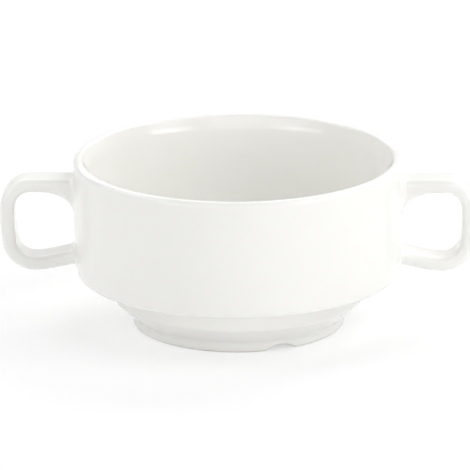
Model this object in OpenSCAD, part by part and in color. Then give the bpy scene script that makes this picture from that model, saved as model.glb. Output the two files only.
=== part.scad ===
// Stacking lug soup bowl in glazed vitrified porcelain, two looped side handles.
// The bowl stands on its foot ring with its axis on Z. The handles lie along X
// and the front, which holds one of the drain notches, faces -Y.

/* [Bowl] */
// Diameter over the rim
rim_d = 115; // [104:1:130]
// Height from the table to the top of the rim
bowl_h = 60; // [56:1:72]
// Thickness of the side wall at the shoulder
wall_t = 4.8; // [4:0.1:5.4]
// Thickness of the side wall just below the lip
top_t = 4.6; // [4:0.1:5.4]
// Width of the lip's crown, before its edges are rounded
lip_w = 3; // [2.8:0.1:3.6]
// Radius of the lip's outer edge
lip_edge_r = 1.9; // [1:0.1:1.9]
// Radius of the lip's inner edge
lip_in_edge_r = 1.4; // [0.8:0.1:1.5]
// Height of the slope that leads from the lip down to the inner wall
lip_slope_h = 4.5; // [3.5:0.1:6]
// Radius with which that slope runs into the inner wall
lip_slope_r = 16; // [6:1:18]
// How far the wall runs in from the rim down to the shoulder
wall_draft = 0.9; // [0:0.1:2]
// How far the wall bellies out past a straight line at mid height
wall_swell = 0.6; // [0:0.1:1.5]

/* [Stacking foot] */
// Width of the sloping ledge that rests on the rim of the bowl below
ledge_w = 12.6; // [11.8:0.2:14]
// Height of the ledge where it meets the neck
ledge_z = 16.7; // [15:0.1:18]
// Slope of the ledge, in degrees
ledge_slope = 8; // [4:1:12]
// Radius of the shoulder between the ledge and the wall
shoulder_r = 2.4; // [1.6:0.1:5]
// Radius of the hollow corner between the neck and the ledge
ledge_fillet_r = 2.2; // [1:0.1:3]
// Height of the neck's lower corner
neck_z = 10.1; // [9:0.1:11]
// Radius of the neck's lower corner
neck_edge_r = 2; // [1:0.1:4]
// How far the foot ring stands in from the neck
foot_inset = 6.9; // [5:0.1:8]
// Height of the foot ring where the cove above it starts
foot_h = 3.5; // [3:0.1:4.4]
// Radius of the cove between the foot ring and the neck
cove_r = 2.6; // [1:0.1:3]
// Thickness of the foot ring
foot_t = 4.6; // [4:0.1:5.4]
// Radius of the foot ring's outer lower edge
foot_edge_r = 1.1; // [0.6:0.1:1.5]

/* [Inside] */
// Thickness of the floor at the centre
floor_t = 4.6; // [3.6:0.1:5.6]
// Depth of the recess under the floor
recess_z = 4; // [3:0.1:4.6]
// Radius of the hollow corner of the recess
recess_r = 2; // [1:0.1:2.2]
// Radius of both bends between the inner wall and the well
bowl_curve_r = 7.6; // [6:0.2:8]
// Radius of the inner floor's edge
floor_curve_r = 8; // [6:0.5:8.5]

/* [Drain notches] */
// Number of drain notches in the foot ring
notch_count = 2; // [1:1:3]
// Width of a drain notch where it leaves the table
notch_w = 11; // [7:0.5:14]
// Depth of a drain notch
notch_d = 1.8; // [1:0.1:2.2]
// Angle of the first notch from the front towards the right handle, in degrees
notch_angle = 25; // [10:1:45]

/* [Handles] */
// Clear width between the rim and a handle's outer leg, before its corners are bent
handle_gap = 20.5; // [18:0.1:25]
// Drop from the rim to the top of the upper arm, at the wall
handle_drop = 7.2; // [6:0.2:9]
// Height of the lower arm's underside over the shoulder, at the outer end of the loop
handle_lift = 0.9; // [0:0.1:3]
// Thickness of the strap
strap_t = 5; // [4.2:0.1:6]
// Width of the strap
strap_w = 12; // [9:0.2:15]
// Edge radius of the strap
strap_edge_r = 1.8; // [1:0.1:2]
// Rise of the upper arm on its way out
arm_lift = 0.3; // [0:0.1:1]
// How far the outer leg bows out half way down
leg_bow = 0.2; // [0:0.1:1]
// How far the outer leg leans in at its foot
leg_lean = 1.4; // [0:0.2:4]
// Rise of the lower arm on its way back to the wall
arm_rise = 2.8; // [0:0.2:4]
// How far the lower arm sags below a straight line half way along it
arm_sag = 1; // [0:0.1:1.4]
// Bend radius of the strap's middle line at the upper corner
top_bend_r = 8.2; // [6:0.2:9]
// Bend radius of the strap's middle line at the lower corner
low_bend_r = 8.8; // [6:0.2:9]
// Bend radius half way down the leg
leg_bend_r = 30; // [20:1:40]
// Bend radius half way along the lower arm
arm_bend_r = 20; // [14:1:30]
// Drop of the web under the upper arm's root
web_drop = 7.4; // [5:0.2:9]
// Reach of that web from the wall
web_reach = 11; // [8:0.2:12]
// Height of the small web over the lower arm's root
low_web_drop = 2.2; // [2:0.1:4]
// Reach of the small web from the wall
low_web_reach = 2; // [2:0.1:4]
// Radius of the fillet all round each root
root_fillet_r = 1.6; // [1:0.1:2]
// Thickness of the slip that holds each arm to the wall
slip_t = 0.4; // [0.3:0.05:0.6]

/* [Hidden] */

$fn = 180;
glaze = "whitesmoke";
slip = "gainsboro";

// Overrun of every cut past the face that it leaves
overrun = 1;
// Steps in one quarter turn of an outline's rounding
arc_steps = 8;
// Steps round one edge, along one bend and along one root of the strap
edge_steps = 4;
bend_steps = 8;
root_steps = 7;

// Radii of the bowl, worked outwards and inwards from the rim
rim_r = rim_d / 2;
seat_r = rim_r - wall_draft;
neck_r = seat_r - ledge_w;
foot_r = neck_r - foot_inset;
foot_in_r = foot_r - foot_t;
lip_in_r = rim_r - lip_w;
wall_top_r = rim_r - top_t;
wall_in_r = seat_r - wall_t;
ledge_in_r = neck_r - wall_t;
floor_r = foot_r - recess_r / 2;

// Heights of the shoulder outside and of the steps inside
seat_z = ledge_z + ledge_w * tan(ledge_slope);
floor_z = recess_z + floor_t;
wall_in_z = seat_z + wall_t;
ledge_in_z = ledge_z + wall_t;

// Heights of a handle's arms, and reach of its leg, on the strap's middle line
arm_r = strap_t / 2;
top_z = bowl_h - handle_drop - arm_r;
low_z = seat_z + handle_lift + arm_r;
low_root_z = low_z + arm_rise;
out_x = rim_r + handle_gap + arm_r;
foot_x = out_x - leg_lean;

// Points of a rounding from angle a0 to a1 about c
function arc(c, r, a0, a1, steps) =
  [for (i = [0 : steps]) c + r * [cos(a0 + (a1 - a0) * i / steps), sin(a0 + (a1 - a0) * i / steps)]];

function unit(v) = v / norm(v);
function heading(v) = atan2(v[1], v[0]);
// The turn from one direction to another, between -180 and 180 degrees
function turn(u, v) = atan2(u[0] * v[1] - u[1] * v[0], u * v);

// Rounding of radius r that is tangent to both lines that meet at b
function corner(a, b, c, r) =
  let (u = unit(b - a), v = unit(c - b), t = turn(u, v), side = sign(t))
  let (start = b - u * r * tan(abs(t) / 2))
  let (centre = start + side * r * [-u[1], u[0]])
  let (a0 = heading(start - centre))
  arc(centre, r, a0, a0 + t, max(1, round(arc_steps * abs(t) / 90)));

// An outline given as corners [r, z, radius], with each corner rounded. A corner
// with a negative radius only gives the line before it its direction.
function rounded(corners) = [
  for (i = [0 : len(corners) - 1])
    let (p = corners[i], b = [p[0], p[1]])
    if (p[2] == 0) b
    else if (p[2] > 0)
      let (a = corners[i - 1], c = corners[i + 1])
      for (q = corner([a[0], a[1]], b, [c[0], c[1]], p[2])) q
];

// Outer radius of the wall at height z, from the shoulder to the rim
function wall_share(z) = (z - seat_z) / (bowl_h - seat_z);
function wall_at(z) =
  seat_r + wall_draft * wall_share(z) + wall_swell * sin(180 * wall_share(z));

// The outer face from the ledge over the shoulder to the lip, moved outwards by grow
wall_steps = 10;
function wall_line(grow) =
  let (z0 = seat_z + shoulder_r, z1 = bowl_h - lip_edge_r * 2)
  [for (i = [0 : wall_steps]) let (z = z0 + (z1 - z0) * i / wall_steps) [wall_at(z) + grow, z]];
function shell_line(grow) = concat(
  corner([neck_r, ledge_z - grow], [seat_r + grow, seat_z - grow], wall_line(grow)[0], shoulder_r + grow),
  wall_line(grow)
);

function outside_line() = concat(
  rounded([
    [0, recess_z, 0],
    [foot_in_r, recess_z, recess_r],
    [foot_in_r, 0, foot_edge_r / 2],
    [foot_r, 0, foot_edge_r],
    [foot_r, foot_h, cove_r],
    [neck_r, neck_z, neck_edge_r],
    [neck_r, ledge_z, ledge_fillet_r],
    [seat_r, seat_z, -1]
  ]),
  shell_line(0)
);

function inside_line() = rounded([
  [wall_line(0)[wall_steps][0], wall_line(0)[wall_steps][1], 0],
  [rim_r, bowl_h, lip_edge_r],
  [lip_in_r, bowl_h, lip_in_edge_r],
  [wall_top_r, bowl_h - lip_slope_h, lip_slope_r],
  [wall_in_r, wall_in_z, bowl_curve_r],
  [ledge_in_r, ledge_in_z, bowl_curve_r],
  [floor_r, floor_z, floor_curve_r],
  [0, floor_z, 0]
]);

// A round trough cut across the foot ring from below
module notch_cut() {
  notch_r = (notch_w * notch_w / 4 + notch_d * notch_d) / (2 * notch_d);
  translate([foot_in_r - overrun, 0, notch_d - notch_r])
    rotate([0, 90, 0])
      cylinder(r = notch_r, h = foot_t + overrun * 2);
}

module bowl_body() {
  color(glaze)
    difference() {
      rotate_extrude() polygon(concat(outside_line(), inside_line()));
      for (i = [0 : notch_count - 1])
        rotate([0, 0, notch_angle - 90 + 360 * i / notch_count]) notch_cut();
    }
}

// How far a root's fillet has spread at a distance d from the wall, where it
// reaches out by reach and spreads by drop
function spread(d, reach, drop) =
  let (gap_share = max(0, min(1, 1 - d / reach))) drop * (1 - sqrt(1 - gap_share * gap_share));

// Middle line of the strap: the corners of its loop, and how each one is bent
top_root = wall_at(top_z);
low_root = wall_at(low_root_z);
loop_corners = [
  [top_root, top_z],
  [out_x, top_z + arm_lift],
  [out_x + leg_bow, (top_z + low_z) / 2],
  [foot_x, low_z],
  [(foot_x + low_root) / 2, low_z + arm_rise / 2 - arm_sag],
  [low_root, low_root_z]
];
loop_radii = [0, top_bend_r, leg_bend_r, low_bend_r, arm_bend_r, 0];

// Stations [x, z, heading, distance from the wall, web reach, web drop] along a bend
function bend(a, b, c, r) =
  let (u = unit(b - a), v = unit(c - b), t = turn(u, v), side = sign(t))
  let (start = b - u * r * tan(abs(t) / 2))
  let (centre = start + side * r * [-u[1], u[0]])
  let (a0 = heading(start - centre), h0 = heading(u))
  let (steps = max(2, round(bend_steps * abs(t) / 90)))
  [for (i = [0 : steps])
    let (s = t * i / steps, p = centre + r * [cos(a0 + s), sin(a0 + s)])
    [p[0], p[1], h0 + s, web_reach, web_reach, 0]];

// Distances from the wall, close together where the fillet turns quickly
function root_steps_at(reach) = [for (i = [0 : root_steps]) reach * (1 - cos(90 * i / root_steps))];

// Stations along the straight root of one arm, from within the wall outwards; away is
// 1 where the strap is drawn away from the wall and -1 where it comes back to it
function arm_root(root, next, away, reach, drop) =
  let (u = unit(next - root), h = heading(u * away), d = root_steps_at(reach), inner = root - u * wall_t / 2)
  concat(
    [[inner[0], inner[1], h, 0, reach, drop]],
    [for (i = [0 : root_steps]) let (p = root + u * d[i]) [p[0], p[1], h, d[i], reach, drop]]
  );

function reversed(list) = [for (i = [len(list) - 1 : -1 : 0]) list[i]];

function loop_line() =
  let (c = loop_corners)
  concat(
    arm_root(c[0], c[1], 1, web_reach, web_drop),
    [for (k = [1 : len(c) - 2]) each bend(c[k - 1], c[k], c[k + 1], loop_radii[k])],
    reversed(arm_root(c[5], c[4], -1, low_web_reach, low_web_drop))
  );

// How far the round wall falls back at a distance y from the middle of a root
function fall_back(y) = rim_r - sqrt(rim_r * rim_r - y * y);

// Strap section at a station: a rounded rectangle that the root's fillets widen
// and that curves with the wall as it comes close to it
function section(s) =
  let (f = spread(s[3], root_fillet_r, root_fillet_r), web = max(f, spread(s[3], s[4], s[5])))
  let (hug_share = spread(s[3], s[4], 1))
  let (e = strap_edge_r + f, w = strap_w / 2 + f - e, up = arm_r + f - e, down = arm_r + web - e)
  let (across = [[w, -down], [w, up], [-w, up], [-w, -down]])
  [for (k = [0 : 3])
    let (c = across[k])
    for (q = arc(c, e, 90 * k - 90, 90 * k, edge_steps))
      [s[0] - sin(s[2]) * q[1] - hug_share * fall_back(q[0]), q[0], s[1] + cos(s[2]) * q[1]]];

// A closed skin through rings of equal length
module skin(rings) {
  n = len(rings[0]);
  m = len(rings);
  polyhedron(
    points = [for (ring = rings) for (p = ring) p],
    faces = concat(
      [[for (j = [0 : n - 1]) j]],
      [for (i = [0 : m - 2]) for (j = [0 : n - 1])
        let (a = i * n + j, b = i * n + (j + 1) % n) each [[a, a + n, b], [b, a + n, b + n]]],
      [[for (j = [n - 1 : -1 : 0]) (m - 1) * n + j]]
    )
  );
}

// The whole strap, with its ends running into the wall
module strap() {
  skin([for (s = loop_line()) section(s)]);
}

// Everything inside the outer face above the ledge, with the face moved outwards by grow
module wall_core(grow) {
  line = shell_line(grow);
  rotate_extrude()
    polygon(concat([[0, line[0][1]]], line, [[0, line[len(line) - 1][1]]]));
}

module handle() {
  color(glaze)
    difference() {
      strap();
      wall_core(slip_t);
    }
}

// The slip between one arm and the wall, from height z0 to z1
module slip_joint(z0, z1) {
  color(slip)
    difference() {
      intersection() {
        strap();
        wall_core(slip_t);
        translate([neck_r, -strap_w, z0]) cube([rim_r, strap_w * 2, z1 - z0]);
      }
      wall_core(0);
    }
}

// Half way between the web under the upper arm and the web over the lower arm
mid_z = (top_z - web_drop + low_root_z + low_web_drop) / 2;
module upper_slip_joint() { slip_joint(mid_z, bowl_h); }
module lower_slip_joint() { slip_joint(ledge_z, mid_z); }

module right_handle() { handle(); }
module left_handle() { mirror([1, 0, 0]) handle(); }
module right_upper_slip_joint() { upper_slip_joint(); }
module right_lower_slip_joint() { lower_slip_joint(); }
module left_upper_slip_joint() { mirror([1, 0, 0]) upper_slip_joint(); }
module left_lower_slip_joint() { mirror([1, 0, 0]) lower_slip_joint(); }

bowl_body();
left_handle();
right_handle();
left_upper_slip_joint();
left_lower_slip_joint();
right_upper_slip_joint();
right_lower_slip_joint();
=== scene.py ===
# %% [markdown]
# # A white stacking soup bowl with two looped handles
# The bowl is a hotel soup cup: hard white porcelain under one clear glossy glaze.
# It is really three pieces of clay. The bowl is turned in a spinning mould, the two
# handles are cast as straps, and wet clay slip glues each arm to the wall before
# the kiln makes everything one. This lesson builds those pieces one by one.
# A CAD model has already fixed every size. It is loaded first, as a fixed frame.

# %% Load the CAD frame
import math

import bpy
import numpy as np
from mathutils import Matrix, Vector


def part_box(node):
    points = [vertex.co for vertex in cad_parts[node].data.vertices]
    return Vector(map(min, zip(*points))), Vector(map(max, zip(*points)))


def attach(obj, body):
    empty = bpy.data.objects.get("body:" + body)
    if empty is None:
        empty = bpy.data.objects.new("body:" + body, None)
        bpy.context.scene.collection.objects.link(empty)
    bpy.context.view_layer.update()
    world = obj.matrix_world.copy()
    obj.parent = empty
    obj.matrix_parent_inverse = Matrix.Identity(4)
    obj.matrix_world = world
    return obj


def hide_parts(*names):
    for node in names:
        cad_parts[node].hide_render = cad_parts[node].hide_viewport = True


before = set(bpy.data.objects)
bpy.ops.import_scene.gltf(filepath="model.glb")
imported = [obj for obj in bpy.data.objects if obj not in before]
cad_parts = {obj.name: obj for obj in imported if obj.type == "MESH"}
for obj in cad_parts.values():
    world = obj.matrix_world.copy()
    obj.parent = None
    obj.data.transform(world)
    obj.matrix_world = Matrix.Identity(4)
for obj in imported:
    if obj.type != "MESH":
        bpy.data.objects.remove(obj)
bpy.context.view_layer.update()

MM = 0.001
rim_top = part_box("bowl_body")[1]
BOWL_H = round(rim_top.z / MM, 2)
print("CAD nodes:", sorted(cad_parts))
print("widest radius and height in mm:", round(rim_top.x / MM, 2), BOWL_H)

# %% [markdown]
# ## The bowl's outline
# A potter's template is one drawn line: the bowl turns, and the template shapes it.
# We could model the bowl from a cylinder and bevel its edges, but then each rounding
# would be a guess. Drawing the same outline as the CAD model is easier and exact.
# Each corner is written as [radius, height, rounding], and a small function replaces
# the corner with an arc that touches both lines. We also keep the direction of the
# line at every point, because it gives true normals for clean reflections later.

# %% Arcs that touch two lines
STEP = math.radians(7.5)


def unit(v):
    return np.asarray(v, float) / np.linalg.norm(v)


def rounded_corner(a, b, c, r):
    """Points and directions of an arc of radius r where a-b turns into b-c."""
    u, v = unit(np.subtract(b, a)), unit(np.subtract(c, b))
    turn = math.atan2(u[0] * v[1] - u[1] * v[0], u @ v)
    start = np.asarray(b, float) - u * r * math.tan(abs(turn) / 2)
    side = math.copysign(1, turn)
    centre = start + side * r * np.array([-u[1], u[0]])
    spoke = start - centre
    rows = []
    for t in np.linspace(0, turn, max(3, math.ceil(abs(turn) / STEP)) + 1):
        c_t, s_t = math.cos(t), math.sin(t)
        swing = np.array([[c_t, -s_t], [s_t, c_t]])
        rows.append([*(centre + swing @ spoke), *(swing @ u)])
    return rows


def outline_through(corners):
    """Rows [r, z, dr, dz] through corners [r, z, rounding]; 0 keeps the corner sharp."""
    rows = []
    for i, (r, z, rounding) in enumerate(corners):
        if rounding:
            rows += rounded_corner(corners[i - 1][:2], (r, z), corners[i + 1][:2], rounding)
        else:
            other = corners[i + 1] if i == 0 else corners[i - 1]
            way = unit(np.subtract(other[:2], (r, z))) * (1 if i == 0 else -1)
            rows.append([r, z, *way])
    return rows


print("points in a square corner:", len(rounded_corner((0, 0), (10, 0), (10, 10), 2)))

# %% The wall between the shoulder and the lip, in mm
RIM_R, NECK_R = 57.5, 44.0
LEDGE_Z, LEDGE_W, LEDGE_SLOPE = 16.7, 12.6, math.radians(8)
SEAT_R = NECK_R + LEDGE_W
SEAT_Z = LEDGE_Z + LEDGE_W * math.tan(LEDGE_SLOPE)
DRAFT, SWELL = RIM_R - SEAT_R, 0.6
SHOULDER_R, LIP_EDGE_R = 2.4, 1.9


def wall_radius(z):
    """Outer radius of the wall: nearly upright, with a slight belly."""
    share = (z - SEAT_Z) / (BOWL_H - SEAT_Z)
    return SEAT_R + DRAFT * share + SWELL * np.sin(np.pi * share)


def wall_lean(z):
    """How fast that radius grows with the height."""
    share = (z - SEAT_Z) / (BOWL_H - SEAT_Z)
    return (DRAFT + SWELL * np.pi * np.cos(np.pi * share)) / (BOWL_H - SEAT_Z)


wall_low, wall_high = SEAT_Z + SHOULDER_R, BOWL_H - 2 * LIP_EDGE_R
print("wall from z", round(wall_low, 2), "to", wall_high, "at radius", round(float(wall_radius(38)), 2))

# %% The foot, from the middle of the underside out to the ledge
FOOT_R, FOOT_IN_R, FOOT_H = 37.1, 32.5, 3.5
FOOT_EDGE_R, FOOT_IN_EDGE_R, COVE_R = 1.1, 0.55, 2.6
RECESS_Z, RECESS_R = 4.0, 2.0
NECK_Z, NECK_EDGE_R, LEDGE_FILLET_R = 10.1, 2.0, 2.2

underside = outline_through([
    (0, RECESS_Z, 0),
    (FOOT_IN_R, RECESS_Z, RECESS_R),
    (FOOT_IN_R, 0, FOOT_IN_EDGE_R),
    (FOOT_R, 0, FOOT_EDGE_R),
    (FOOT_R, FOOT_H, COVE_R),
    (NECK_R, NECK_Z, NECK_EDGE_R),
    (NECK_R, LEDGE_Z, LEDGE_FILLET_R),
    (SEAT_R, SEAT_Z, 0),
])[:-1]
print("outline points under the bowl:", len(underside))

# %% The wall, the lip and the inside, down to the well
LIP_W, LIP_IN_EDGE_R = 3.0, 1.4
TOP_T, LIP_SLOPE_H, LIP_SLOPE_R = 4.6, 4.5, 16.0
WALL_T, INNER_BEND_R = 4.8, 7.6
FLOOR_Z, WELL_STEP, WELL_BEND_R = 8.6, 1.0, 8.0
WALL_POINTS = 30

shoulder = rounded_corner(
    (NECK_R, LEDGE_Z), (SEAT_R, SEAT_Z), (wall_radius(wall_low), wall_low), SHOULDER_R)
wall = [[wall_radius(z), z, wall_lean(z), 1] for z in np.linspace(wall_low, wall_high, WALL_POINTS)]
inside = outline_through([
    (wall_radius(wall_high), wall_high, 0),
    (RIM_R, BOWL_H, LIP_EDGE_R),
    (RIM_R - LIP_W, BOWL_H, LIP_IN_EDGE_R),
    (RIM_R - TOP_T, BOWL_H - LIP_SLOPE_H, LIP_SLOPE_R),
    (SEAT_R - WALL_T, SEAT_Z + WALL_T, INNER_BEND_R),
    (NECK_R - WALL_T, LEDGE_Z + WALL_T, INNER_BEND_R),
    (FOOT_R - WELL_STEP, FLOOR_Z, WELL_BEND_R),
    (0, FLOOR_Z, 0),
])[1:]
bowl_outline = np.array(underside + shoulder + wall + inside)
print("outline points:", len(bowl_outline), "highest:", bowl_outline[:, 1].max())

# %% [markdown]
# ## Turning the outline
# Blender's Screw modifier would turn the line for us. Doing it in numpy is as short,
# and lets us fill long straight runs with extra points and hand the true normals to
# the mesh. The drain notches are pressed into the foot ring before the faces are made:
# points near the table move up in two places, and the ring's roundings move with them,
# as when a potter presses a wet sponge into the clay.

# %% Helpers: extra points, and a mesh from a grid of points
def densified(rows, longest):
    """Adds points on stretches that are longer than longest."""
    out = [rows[0]]
    for a, b in zip(rows[:-1], rows[1:]):
        n = math.ceil(np.hypot(*(b[:2] - a[:2])) / longest)
        for k in range(1, n):
            p = a + (b - a) * k / n
            p[2:] = b[:2] - a[:2]
            out.append(p)
        out.append(b)
    return np.array(out)


def closed_piece(name, points, faces, corner_normals):
    """A smooth mesh in metres from points in millimetres, with one normal per face corner."""
    mesh = bpy.data.meshes.new(name)
    mesh.from_pydata((np.asarray(points) * MM).tolist(), [], faces)
    mesh.polygons.foreach_set("use_smooth", [True] * len(mesh.polygons))
    mesh.normals_split_custom_set(corner_normals)
    mesh.update()
    piece = bpy.data.objects.new(name, mesh)
    bpy.context.scene.collection.objects.link(piece)
    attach(piece, "root")
    return piece


LONGEST_STEP = 2.0
lathe_rows = densified(bowl_outline, LONGEST_STEP)
print("rows on the lathe:", len(lathe_rows))

# %% Turn it, with the notches pressed in
AROUND = 360
NOTCH_W, NOTCH_D, NOTCH_SOFT = 11.0, 1.8, 0.25
NOTCH_AT = math.radians(25) - math.pi / 2
RING_FROM, RING_TO = FOOT_IN_R - 2.5, FOOT_R + 0.9
notch_r = (NOTCH_W ** 2 / 4 + NOTCH_D ** 2) / (2 * NOTCH_D)


def notch_lift(angle):
    """How far the foot ring's lower edge is raised at an angle round the bowl."""
    off = (angle - NOTCH_AT + math.pi / 2) % math.pi - math.pi / 2
    across = FOOT_R * np.sin(off)
    trough = NOTCH_D - notch_r + np.sqrt(np.clip(notch_r ** 2 - across ** 2, 0, None))
    lift = (trough + np.sqrt(trough ** 2 + NOTCH_SOFT ** 2)) / 2
    return lift * (np.abs(across) < NOTCH_W)


angles = np.linspace(0, 2 * math.pi, AROUND, endpoint=False)
middle_low, ring, middle_high = lathe_rows[0], lathe_rows[1:-1], lathe_rows[-1]
r, z = ring[:, 0][:, None], ring[:, 1][:, None]
on_ring = (r > RING_FROM) * (r < RING_TO)
hold = np.clip((FOOT_H - z) / (FOOT_H - FOOT_EDGE_R), 0, 1) * on_ring
lifted = z + hold * notch_lift(angles)[None, :]
turned = np.stack([r * np.cos(angles), r * np.sin(angles), lifted], -1)

length = np.hypot(ring[:, 2], ring[:, 3])
out_n, up_n = ring[:, 3] / length, -ring[:, 2] / length
turned_n = np.stack([
    out_n[:, None] * np.cos(angles), out_n[:, None] * np.sin(angles),
    np.repeat(up_n[:, None], AROUND, 1)], -1)
print("notch depth in mm:", round(float(notch_lift(np.array([NOTCH_AT]))[0]), 2))

# %% Faces, true normals and the finished bowl
rows = len(ring)
index = np.arange(rows * AROUND).reshape(rows, AROUND)
nxt = np.roll(index, -1, 1)
quads = np.stack([index[:-1], nxt[:-1], nxt[1:], index[1:]], -1).reshape(-1, 4).tolist()
low, high = rows * AROUND, rows * AROUND + 1
fans = [[low, nxt[0, j], index[0, j]] for j in range(AROUND)]
fans += [[high, index[-1, j], nxt[-1, j]] for j in range(AROUND)]
points = np.concatenate([
    turned.reshape(-1, 3), [[0, 0, middle_low[1]], [0, 0, middle_high[1]]]])
normals = np.concatenate([turned_n.reshape(-1, 3), [[0, 0, -1], [0, 0, 1]]])

faces = quads + fans
bowl = closed_piece("bowl_body_glazed", points, faces, [tuple(normals[v]) for f in faces for v in f])
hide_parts("bowl_body")
print("bowl faces:", len(bowl.data.polygons))

# %% [markdown]
# ## The handles
# Each handle is a cast strap, 12 mm wide and 5 mm thick, that leaves the wall under
# the lip, bends down, and comes back just over the shoulder. A curve with a bevel
# would give the strap, but not its roots: there the clay flares into the wall, with a
# large web under the upper arm. So we sweep a rounded section along the loop ourselves,
# and let the section spread as it comes close to the wall. A loop bent from four arcs
# and straight lines looks like a machine part, so the leg bows a little and the lower
# arm sags a little, as soft clay does: two of the corners have a very large radius.

# %% The loop's middle line
STRAP_T, STRAP_W, STRAP_EDGE = 5.0, 12.0, 2.2
HANDLE_DROP, HANDLE_GAP, HANDLE_LIFT = 7.2, 20.5, 0.9
ARM_LIFT, LEG_BOW, LEG_LEAN, ARM_RISE, ARM_SAG = 0.3, 0.2, 1.4, 2.8, 1.0
TOP_BEND_R, LEG_BEND_R, LOW_BEND_R, ARM_BEND_R = 8.2, 30.0, 8.8, 20.0

top_z = BOWL_H - HANDLE_DROP - STRAP_T / 2
low_z = SEAT_Z + HANDLE_LIFT + STRAP_T / 2
root_z = low_z + ARM_RISE
out_x = RIM_R + HANDLE_GAP + STRAP_T / 2
foot_x = out_x - LEG_LEAN
top_root = np.array([wall_radius(top_z), top_z])
low_root = np.array([wall_radius(root_z), root_z])
loop_corners = np.array([
    top_root,
    (out_x, top_z + ARM_LIFT),
    (out_x + LEG_BOW, (top_z + low_z) / 2),
    (foot_x, low_z),
    ((foot_x + low_root[0]) / 2, (low_z + root_z) / 2 - ARM_SAG),
    low_root,
])
loop_rows = []
for k, bend_r in enumerate((TOP_BEND_R, LEG_BEND_R, LOW_BEND_R, ARM_BEND_R)):
    loop_rows += rounded_corner(*loop_corners[k:k + 3], bend_r)
print("loop from z", round(low_z, 2), "to", round(top_z, 2), "reach", round(out_x, 2))

# %% [markdown]
# A section is a rounded rectangle. Near the wall its corners open up by a fillet, and
# on the inside of the loop it also widens by a web, a quarter of an ellipse: a long one
# under the upper arm, where the hand pulls, and a short one over the lower arm.

# %% The section at a distance from the wall
EDGE_STEPS, SIDE_STEPS, FLAT_STEPS = 8, 2, 8
ROOT_FILLET_R = 1.6
WEB_REACH, WEB_DROP = 11.0, 7.4
LOW_WEB_REACH, LOW_WEB_DROP = 2.0, 2.2


def make_arm(root, along, up, web_reach, web_drop):
    """An arm's root, way to the wall, outside (up: 1 above the arm, -1 below) and web."""
    to_wall = unit(root - along)
    out = up * np.array([to_wall[1], -to_wall[0]])
    return {"root": root, "to_wall": to_wall, "out": out, "reach": web_reach, "drop": web_drop}


def spread(d, reach, drop):
    """How far a fillet has spread sideways at a distance d from the wall."""
    gap = max(1 - d / reach, 0)
    return drop * (1 - math.sqrt(1 - gap ** 2))


def section(d, arm):
    """Points [across, out] of the strap's section, and its normals, at a distance d."""
    fillet = spread(d, ROOT_FILLET_R, ROOT_FILLET_R)
    drop = max(fillet, spread(d, arm["reach"], arm["drop"]))
    e = STRAP_EDGE + fillet
    half, out, back = STRAP_W / 2 + fillet - e, STRAP_T / 2 + fillet - e, STRAP_T / 2 + drop - e
    centres = np.array([(half, -back), (half, out), (-half, out), (-half, -back)])
    q, n = [], []
    for k in range(4):
        for t in np.radians(np.linspace(90 * k - 90, 90 * k, EDGE_STEPS + 1)):
            n.append([math.cos(t), math.sin(t)])
            q.append(centres[k] + e * np.array(n[-1]))
        end, parts = centres[(k + 1) % 4] + e * np.array(n[-1]), (SIDE_STEPS, FLAT_STEPS)[k % 2]
        for s in range(1, parts):
            q.append(q[-1] + (end - q[-1]) / (parts - s + 1))
            n.append(n[-1])
    return np.array(q), np.array(n)


UPPER = make_arm(top_root, loop_corners[1], 1, WEB_REACH, WEB_DROP)
LOWER = make_arm(low_root, loop_corners[4], -1, LOW_WEB_REACH, LOW_WEB_DROP)
print("points round the strap:", len(section(0, UPPER)[0]))

# %% [markdown]
# Each point of a section is then slid along its arm until the section lies on the
# round, bellied wall. The finite steps at the end give true normals on the fillets.

# %% Sliding a section onto the wall
SLIDE_ROUNDS = 4
TINY = 1e-4


def on_arm(q, d, arm):
    """3D points of section points q at a distance d from the wall on one arm."""
    flat = arm["root"] + q[:, 1:2] * arm["out"]
    slide = np.zeros((len(q), 1))
    for _ in range(SLIDE_ROUNDS):
        p = flat + slide * arm["to_wall"]
        wall_x = np.sqrt(wall_radius(p[:, 1]) ** 2 - q[:, 0] ** 2)
        slide[:, 0] += (wall_x - p[:, 0]) / arm["to_wall"][0]
    share = min(d / arm["reach"], 1)
    hug = 1 - share * share * (3 - 2 * share)
    p = flat + (slide * hug - d) * arm["to_wall"]
    return np.stack([p[:, 0], q[:, 0], p[:, 1]], -1)


def arm_ring(alpha, arm):
    """Ring of points and true normals on an arm; alpha grows away from the wall."""
    d = arm["reach"] * (1 - math.cos(alpha))
    q, n = section(d, arm)
    around = np.stack([-n[:, 1], n[:, 0]], -1) * TINY
    tau = on_arm(q + around, d, arm) - on_arm(q - around, d, arm)
    further = arm["reach"] * (1 - math.cos(alpha + TINY))
    here = on_arm(q, d, arm)
    away = on_arm(section(further, arm)[0], further, arm) - here
    normal = np.cross(tau, away if arm is UPPER else -away)
    return here, normal / np.linalg.norm(normal, axis=1, keepdims=True)


lowest = arm_ring(0, LOWER)[0][:, 2].min()
print("lowest point of the lower root:", round(lowest, 2), "over a shoulder at", round(SEAT_Z, 2))

# %% [markdown]
# ## Handles and slip joints as closed pieces
# The handle stops 0.4 mm before the wall, and the film of slip fills that last gap
# right out to the thin edge of the fillet. Both share one seam with the same normals,
# so under the glaze the seam can't be seen, as on a fired bowl. Every piece is closed
# with end caps that follow the wall.

# %% Helpers: a skin through rings, and a cap
CAP_SHARES = (0.8, 0.55, 0.3, 0.1)
SLIP_T = 0.4


def cap_rings(d, arm):
    """Smaller and smaller rings that close a section at a distance d from the wall."""
    q, _ = section(d, arm)
    middle = q.mean(0)
    return [on_arm(middle + (q - middle) * k, d, arm) for k in CAP_SHARES]


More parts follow.
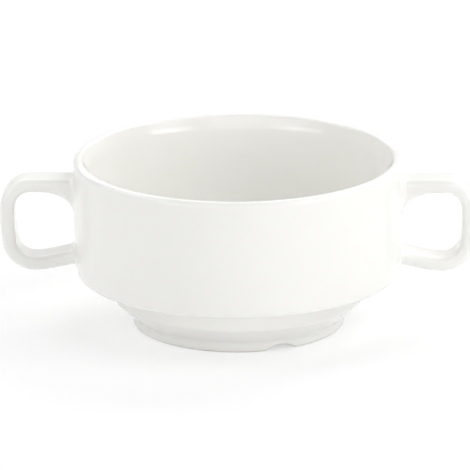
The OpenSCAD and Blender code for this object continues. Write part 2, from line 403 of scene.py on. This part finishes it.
def skinned(name, slot, node, skin, normals, start_cap, end_cap, mirror):
    """A closed piece from rings: first its start cap, then its skin, then its end cap."""
    stack = start_cap[::-1] + skin + end_cap
    n, m = len(skin[0]), len(stack)
    points = np.concatenate(stack)
    first = len(start_cap)
    faces, flat_faces = [], []
    for i in range(m - 1):
        capped = i < first or i >= first + len(skin) - 1
        for j in range(n):
            k = (j + 1) % n
            quad = [i * n + j, i * n + k, (i + 1) * n + k, (i + 1) * n + j]
            (flat_faces if capped else faces).append(quad)
    flat_faces += [list(range(n))[::-1], [(m - 1) * n + j for j in range(n)]]
    vertex_normals = np.zeros_like(points)
    vertex_normals[first * n:(first + len(skin)) * n] = np.concatenate(normals)
    if mirror:
        points = points * [-1, 1, 1]
        vertex_normals = vertex_normals * [-1, 1, 1]
        faces, flat_faces = [f[::-1] for f in faces], [f[::-1] for f in flat_faces]
    corner_normals = [tuple(vertex_normals[v]) for f in faces for v in f]
    for f in flat_faces:
        p = points[f]
        up = np.cross(p[len(p) // 3] - p[0], p[2 * len(p) // 3] - p[0])
        corner_normals += [tuple(unit(up))] * len(f)
    piece = closed_piece(name, points, faces + flat_faces, corner_normals)
    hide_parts(node)
    return piece


print("cap rings:", len(CAP_SHARES))

# %% Both handles and their slip joints
UPPER_STEPS, LOWER_STEPS, SLIP_STEPS = 24, 14, 6


def seam(arm):
    """Where the slip ends and the handle starts, as an alpha."""
    return math.acos(1 - SLIP_T / arm["reach"])


def band(arm, low_alpha, high_alpha, steps):
    """Rings and normals of an arm between two alphas, going away from the wall."""
    made = [arm_ring(a, arm) for a in np.linspace(low_alpha, high_alpha, steps + 1)]
    return [ring for ring, _ in made], [normal for _, normal in made]


def bend_rings(rows):
    """Plain rings along a bend of the loop."""
    q, n = section(UPPER["reach"], UPPER)
    skin, normals = [], []
    for x, z, hx, hz in rows:
        skin.append(np.stack([x - hz * q[:, 1], q[:, 0], z + hx * q[:, 1]], -1))
        normals.append(np.stack([-hz * n[:, 1], n[:, 0], hx * n[:, 1]], -1))
    return skin, normals


def side_pieces(side, mirror):
    """The handle and the two slip joints on one side."""
    up_skin, up_n = band(UPPER, seam(UPPER), math.pi / 2, UPPER_STEPS)
    down_skin, down_n = band(LOWER, seam(LOWER), math.pi / 2, LOWER_STEPS)
    mid_skin, mid_n = bend_rings(loop_rows)
    start = cap_rings(SLIP_T, UPPER)
    end = cap_rings(SLIP_T, LOWER)
    handle = skinned(
        f"{side}_handle_glazed", "handle_glaze", f"{side}_handle",
        up_skin + mid_skin + down_skin[::-1], up_n + mid_n + down_n[::-1], start, end, mirror)
    made = [handle]
    for arm, word in ((UPPER, "upper"), (LOWER, "lower")):
        skin, normals = band(arm, 0, seam(arm), SLIP_STEPS)
        caps = [cap_rings(0, arm), cap_rings(SLIP_T, arm)]
        if arm is LOWER:
            skin, normals, caps = skin[::-1], normals[::-1], caps[::-1]
        made.append(skinned(
            f"{side}_{word}_slip_glazed", "fired_slip", f"{side}_{word}_slip_joint",
            skin, normals, *caps, mirror))
    return made


right_side = side_pieces("right", mirror=False)
left_side = side_pieces("left", mirror=True)
print("pieces:", [p.name for p in right_side + left_side])
print("handle faces:", len(right_side[0].data.polygons))

# %% [markdown]
# ## The glaze
# Glazed porcelain is a white body under a thin layer of clear glass. The Principled
# shader has both: a near-white base colour, a low roughness and glass's own index.
# A kiln never leaves a surface perfectly even, so a fine bump gives the slight
# orange-peel that makes reflections of the lamps a little soft, a slower one gives
# the gentle waves left by turning and fettling, and the white shifts by a hair where
# the glaze has run thicker. The foot's rim is wiped bare before firing, so it is matt.

# %% A glaze made of nodes
GLASS_INDEX = 1.5
CLOUD_SCALE, PEEL_SCALE, WAVE_SCALE = 38, 260, 24
PEEL_DEPTH, WAVE_DEPTH = 0.04 * MM, 0.6 * MM


def glaze_material(name, white, gloss, body_tint, peel=0.05, wave=0.12):
    """Clear glossy glaze over a white body, with faint unevenness."""
    material = bpy.data.materials.new(name)
    material.use_nodes = True
    nodes, links = material.node_tree.nodes, material.node_tree.links
    shader = nodes["Principled BSDF"]
    shader.inputs["IOR"].default_value = GLASS_INDEX
    place = nodes.new("ShaderNodeTexCoord")

    clouds = nodes.new("ShaderNodeTexNoise")
    clouds.inputs["Scale"].default_value = CLOUD_SCALE
    clouds.inputs["Detail"].default_value = 3
    links.new(place.outputs["Object"], clouds.inputs["Vector"])

    shade = nodes.new("ShaderNodeValToRGB")
    shade.color_ramp.elements[0].position = 0.35
    shade.color_ramp.elements[0].color = (*[c * t for c, t in zip(white, body_tint)], 1)
    shade.color_ramp.elements[1].position = 0.65
    shade.color_ramp.elements[1].color = (*white, 1)
    links.new(clouds.outputs["Fac"], shade.inputs["Fac"])
    links.new(shade.outputs["Color"], shader.inputs["Base Color"])

    rough = nodes.new("ShaderNodeMapRange")
    rough.inputs["To Min"].default_value = gloss * 0.8
    rough.inputs["To Max"].default_value = gloss * 1.3
    links.new(clouds.outputs["Fac"], rough.inputs["Value"])
    links.new(rough.outputs["Result"], shader.inputs["Roughness"])

    normal = None
    for scale, strength, depth in ((PEEL_SCALE, peel, PEEL_DEPTH), (WAVE_SCALE, wave, WAVE_DEPTH)):
        noise = nodes.new("ShaderNodeTexNoise")
        noise.inputs["Scale"].default_value = scale
        noise.inputs["Detail"].default_value = 1
        bump = nodes.new("ShaderNodeBump")
        bump.inputs["Strength"].default_value = strength
        bump.inputs["Distance"].default_value = depth
        links.new(place.outputs["Object"], noise.inputs["Vector"])
        links.new(noise.outputs["Fac"], bump.inputs["Height"])
        if normal:
            links.new(normal, bump.inputs["Normal"])
        normal = bump.outputs["Normal"]
    links.new(normal, shader.inputs["Normal"])
    return material


WHITE, SLIP_WHITE = (0.92, 0.915, 0.89), (0.915, 0.91, 0.882)
THIN_TINT, SLIP_TINT = (0.985, 0.985, 0.975), (0.98, 0.98, 0.965)
GLOSS = 0.05
bowl_glaze = glaze_material("white glaze", WHITE, GLOSS, THIN_TINT)
strap_glaze = glaze_material("handle glaze", WHITE, GLOSS, THIN_TINT)
slip_glaze = glaze_material("glaze over slip", SLIP_WHITE, GLOSS, SLIP_TINT)
print("glaze white:", WHITE)

# %% The bare foot, wiped free of glaze
BARE_H, BARE_FROM = 0.5, FOOT_IN_R - 1.5
BARE_WHITE, BARE_TINT = (0.80, 0.79, 0.76), (0.95, 0.94, 0.92)
bare_foot = glaze_material(
    "bare fired porcelain", BARE_WHITE, gloss=0.55, body_tint=BARE_TINT, peel=0.3, wave=0.1)
bowl.data.materials.append(bowl_glaze)
bowl.data.materials.append(bare_foot)
bare = 0
for face in bowl.data.polygons:
    c = face.center / MM
    raised = notch_lift(np.array([math.atan2(c.y, c.x)]))[0]
    if c.z < BARE_H + raised and BARE_FROM < math.hypot(c.x, c.y) < RING_TO:
        face.material_index = 1
        bare += 1

# %% A finish for every piece
for handle, *joints in (right_side, left_side):
    handle.data.materials.append(strap_glaze)
    for joint in joints:
        joint.data.materials.append(slip_glaze)
print("bare faces on the foot:", bare)
print("finishes:", [m.name for m in bpy.data.materials])

# %% [markdown]
# ## Camera
# The camera stands where the photographer's did: 1.8 m away, about 17 degrees above the
# table, with a long lens. Its place comes from a fit of the rim, the foot and the wall.

# %% Camera
TARGET = Vector((-1.2, 0, 31.3)) * MM
DISTANCE, HEIGHT_ANGLE, TURN, ROLL = 1.8, 0.2966, math.radians(1.83), -0.0068
PHOTO_WIDTH, PIXELS_PER_MM = 470, 2.855

lens_data = bpy.data.cameras.new("camera")
lens_data.sensor_width = 36
lens_data.lens = PIXELS_PER_MM * DISTANCE / MM * lens_data.sensor_width / PHOTO_WIDTH
lens_data.clip_end = 20
camera = bpy.data.objects.new("camera", lens_data)
bpy.context.scene.collection.objects.link(camera)
camera_turn = Matrix.Rotation(TURN, 4, "Z")
offset = Vector((0, -math.cos(HEIGHT_ANGLE), math.sin(HEIGHT_ANGLE))) * DISTANCE
aim = camera_turn @ TARGET
camera.matrix_world = (
    Matrix.Translation(aim + camera_turn @ offset) @ camera_turn
    @ Matrix.Rotation(math.pi / 2 - HEIGHT_ANGLE, 4, "X") @ Matrix.Rotation(ROLL, 4, "Z"))
bpy.context.scene.camera = camera
print("lens in mm:", round(lens_data.lens, 1), "camera at", [round(v, 3) for v in camera.location])

# %% [markdown]
# ## Table and light
# The photo was made on a white sweep, in a white room. A floor bright enough to look
# pure white would need so much lamp light that the bowl lost its shading. So the floor
# is a pale matt sheet that reflects light like any other, but where the camera or a
# reflection looks at it, most of its look is an even white and only part of it is the
# shaded sheet: the shadow stays, thin and soft. The room is treated in the same way.

# %% What looks at a surface: the camera, a reflection, or scattered light
def seen_directly(tree):
    """A value that is 1 for the camera and for mirrored or transmitted rays, else 0."""
    path = tree.nodes.new("ShaderNodeLightPath")
    total = path.outputs["Is Camera Ray"]
    for kind in ("Is Glossy Ray", "Is Transmission Ray"):
        add = tree.nodes.new("ShaderNodeMath")
        add.operation = "ADD"
        add.use_clamp = True
        tree.links.new(total, add.inputs[0])
        tree.links.new(path.outputs[kind], add.inputs[1])
        total = add.outputs["Value"]
    return total


# %% The sweep
SHEET_WHITE, SHADOW_SHARE, LIT_SHEET = 0.94, 0.48, 0.87


def sweep_material(white, shadow_share):
    """Pale matt floor; seen directly, only shadow_share of it is the shaded sheet."""
    material = bpy.data.materials.new("white sweep")
    material.use_nodes = True
    nodes, links = material.node_tree.nodes, material.node_tree.links
    sheet = nodes["Principled BSDF"]
    sheet.inputs["Base Color"].default_value = (white, white, white, 1)
    sheet.inputs["Roughness"].default_value = 0.8
    shaded = nodes.new("ShaderNodeBsdfDiffuse")
    shaded.inputs["Color"].default_value = (*[white * shadow_share] * 3, 1)
    glow = nodes.new("ShaderNodeEmission")
    glow.inputs["Color"].default_value = (1, 1, 1, 1)
    glow.inputs["Strength"].default_value = 1 - shadow_share * LIT_SHEET
    look = nodes.new("ShaderNodeAddShader")
    choose = nodes.new("ShaderNodeMixShader")
    links.new(shaded.outputs["BSDF"], look.inputs[0])
    links.new(glow.outputs["Emission"], look.inputs[1])
    links.new(seen_directly(material.node_tree), choose.inputs["Fac"])
    links.new(sheet.outputs["BSDF"], choose.inputs[1])
    links.new(look.outputs["Shader"], choose.inputs[2])
    links.new(choose.outputs["Shader"], nodes["Material Output"].inputs["Surface"])
    return material


HALF = 3
floor_mesh = bpy.data.meshes.new("sweep")
corners = [(-HALF, -HALF, 0), (HALF, -HALF, 0), (HALF, HALF, 0), (-HALF, HALF, 0)]
floor_mesh.from_pydata(corners, [], [(0, 1, 2, 3)])
floor = bpy.data.objects.new("sweep", floor_mesh)
bpy.context.scene.collection.objects.link(floor)
floor.data.materials.append(sweep_material(SHEET_WHITE, SHADOW_SHARE))
print("floor is", floor.dimensions.x, "m wide")

# %% World light
ROOM_LIGHT = 0.02
world = bpy.data.worlds.new("white room")
bpy.context.scene.world = world
world.use_nodes = True
room_nodes, room_links = world.node_tree.nodes, world.node_tree.links
backdrop = room_nodes["Background"]
backdrop.inputs["Color"].default_value = (1, 1, 1, 1)
room = room_nodes.new("ShaderNodeBackground")
room.inputs["Color"].default_value = (1, 1, 1, 1)
room.inputs["Strength"].default_value = ROOM_LIGHT
choose = room_nodes.new("ShaderNodeMixShader")
room_links.new(seen_directly(world.node_tree), choose.inputs["Fac"])
room_links.new(room.outputs["Background"], choose.inputs[1])
room_links.new(backdrop.outputs["Background"], choose.inputs[2])
room_links.new(choose.outputs["Shader"], room_nodes["World Output"].inputs["Surface"])
print("room light:", ROOM_LIGHT)

# %% [markdown]
# ## Lamps
# A bowl shows its form by the slow change from light to shade, so every lamp is a large
# softbox, as in a product studio. The right side gets most light, the left side less,
# and two lamps behind the bowl reach over the rim into the well. The two low lamps are
# wide and flat on purpose: the inner slope of the lip mirrors them, one as the pale bar
# right of the middle, the other as the long streak on the left. A mirror turned by an
# angle moves what it shows by twice that angle, which gives the places of both lamps.

# %% A soft lamp
AIM = Vector((0, 0, 30)) * MM


def soft_lamp(name, azimuth, elevation, distance, width, height, watts):
    """A rectangular lamp aimed at the bowl; azimuth counts from the front to the right."""
    lamp = bpy.data.lights.new(name, "AREA")
    lamp.shape = "RECTANGLE"
    lamp.size, lamp.size_y, lamp.energy = width, height, watts
    piece = bpy.data.objects.new(name, lamp)
    bpy.context.scene.collection.objects.link(piece)
    a, e = math.radians(azimuth), math.radians(elevation)
    way = Vector((math.sin(a) * math.cos(e), -math.cos(a) * math.cos(e), math.sin(e)))
    piece.location = AIM + way * distance
    piece.rotation_euler = (-way).to_track_quat("-Z", "Y").to_euler()
    return piece


print("lamps aim at", [round(v, 3) for v in AIM])

# %% Ten soft lamps: azimuth and elevation in degrees, distance and sizes in metres, watts
soft_lamp("right softbox", 60, 46, 1.4, 1.0, 0.9, 7.0)
soft_lamp("right side softbox", 90, 36, 1.3, 0.6, 0.6, 1.7)
soft_lamp("low right fill", 60, 14, 1.3, 0.6, 0.6, 1.6)
soft_lamp("low right strip", 54, 8, 1.3, 0.75, 0.3, 1.8)
soft_lamp("low left window", -48, 7, 1.5, 0.92, 0.36, 2.5)
soft_lamp("wide front fill", -15, 16, 1.4, 2.0, 0.8, 5.0)
soft_lamp("left side softbox", -90, 40, 1.4, 1.0, 1.0, 6.2)
soft_lamp("back left softbox", -150, 40, 1.4, 1.0, 1.0, 4.4)
soft_lamp("back right softbox", 150, 40, 1.4, 1.0, 1.0, 10.0)
soft_lamp("top softbox", 0, 90, 1.3, 0.8, 0.8, 1.0)

# %% View
bpy.context.scene.view_settings.view_transform = "Standard"
